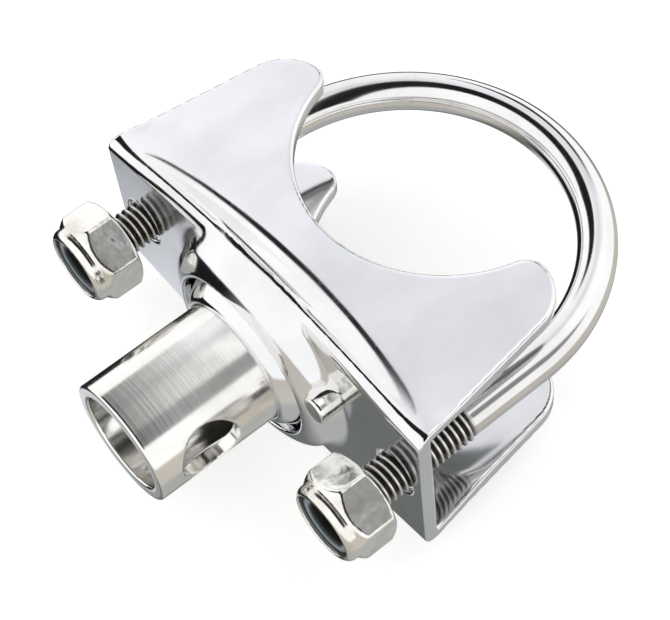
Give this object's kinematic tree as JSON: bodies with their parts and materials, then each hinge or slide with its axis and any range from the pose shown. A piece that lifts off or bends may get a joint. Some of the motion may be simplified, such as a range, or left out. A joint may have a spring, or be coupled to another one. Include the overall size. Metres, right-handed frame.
{
  "type": "swivel socket u-bolt clamp",
  "caption": "Polished stainless U-bolt stanchion clamp: channel saddle with a drawn cup that holds a swivelling cylindrical pin socket, held by nylon lock nuts.",
  "frame": {"origin": "on the axis of the clamped tube, in the middle of the saddle's height", "axes": "+Z along the clamped tube, +Y from the saddle towards the U-bolt's bow, the socket points to -Y, the two legs are spaced along X"},
  "size_m": [0.0532, 0.0618, 0.0276],
  "materials": {
    "polished_steel": "mirror polished stainless",
    "bolt_steel": "polished stainless rod, rolled thread",
    "turned_steel": "fine turned stainless",
    "nut_steel": "bright stainless",
    "seat_nylon": "matt black nylon",
    "insert_nylon": "slate grey nylon"
  },
  "bodies": {
    "saddle": {"saddle_bracket": "polished_steel", "retainer_plate": "turned_steel", "pivot_button": "turned_steel", "lock_pin": "nut_steel"},
    "bolt": {"u_bolt": "bolt_steel"},
    "insert_left": {"nut_insert_left": "insert_nylon"},
    "nut_left": {"lock_nut_left": "nut_steel"},
    "insert_right": {"nut_insert_right": "insert_nylon"},
    "nut_right": {"lock_nut_right": "nut_steel"},
    "seat": {"seat_cap": "seat_nylon"},
    "ball": {"ball_collar": "polished_steel"},
    "socket": {"socket_tube": "turned_steel"}
  },
  "joints": [
    {"name": "bolt_slide", "type": "slide", "parent": "saddle", "child": "bolt", "axis": [0, 1, 0], "range_m": [-0.006, 0.0018]},
    {"name": "nut_left_travel", "type": "slide", "parent": "bolt", "child": "insert_left", "axis": [0, 1, 0], "range_m": [-0.00175, 0.00175]},
    {"name": "nut_left_turn", "type": "hinge", "parent": "insert_left", "child": "nut_left", "pos_m": [-0.0215, -0.0332, 0], "axis": [0, 1, 0], "range_deg": [-800, 800]},
    {"name": "nut_right_travel", "type": "slide", "parent": "bolt", "child": "insert_right", "axis": [0, 1, 0], "range_m": [-0.00175, 0.00175]},
    {"name": "nut_right_turn", "type": "hinge", "parent": "insert_right", "child": "nut_right", "pos_m": [0.0215, -0.0332, 0], "axis": [0, 1, 0], "range_deg": [-800, 800]},
    {"name": "swivel_tilt_up_down", "type": "hinge", "parent": "saddle", "child": "seat", "pos_m": [0, -0.0225, 0], "axis": [1, 0, 0], "range_deg": [-7, 7]},
    {"name": "swivel_tilt_sideways", "type": "hinge", "parent": "seat", "child": "ball", "pos_m": [0, -0.0225, 0], "axis": [0, 0, 1], "range_deg": [-7, 7]},
    {"name": "socket_spin", "type": "hinge", "parent": "ball", "child": "socket", "pos_m": [0, -0.0225, 0], "axis": [0, 1, 0], "continuous": true}
  ],
  "couplings": [
    {"joint": "nut_left_turn", "follows": "nut_left_travel", "rad_per_m": 7913},
    {"joint": "nut_right_turn", "follows": "nut_right_travel", "rad_per_m": 7913}
  ]
}
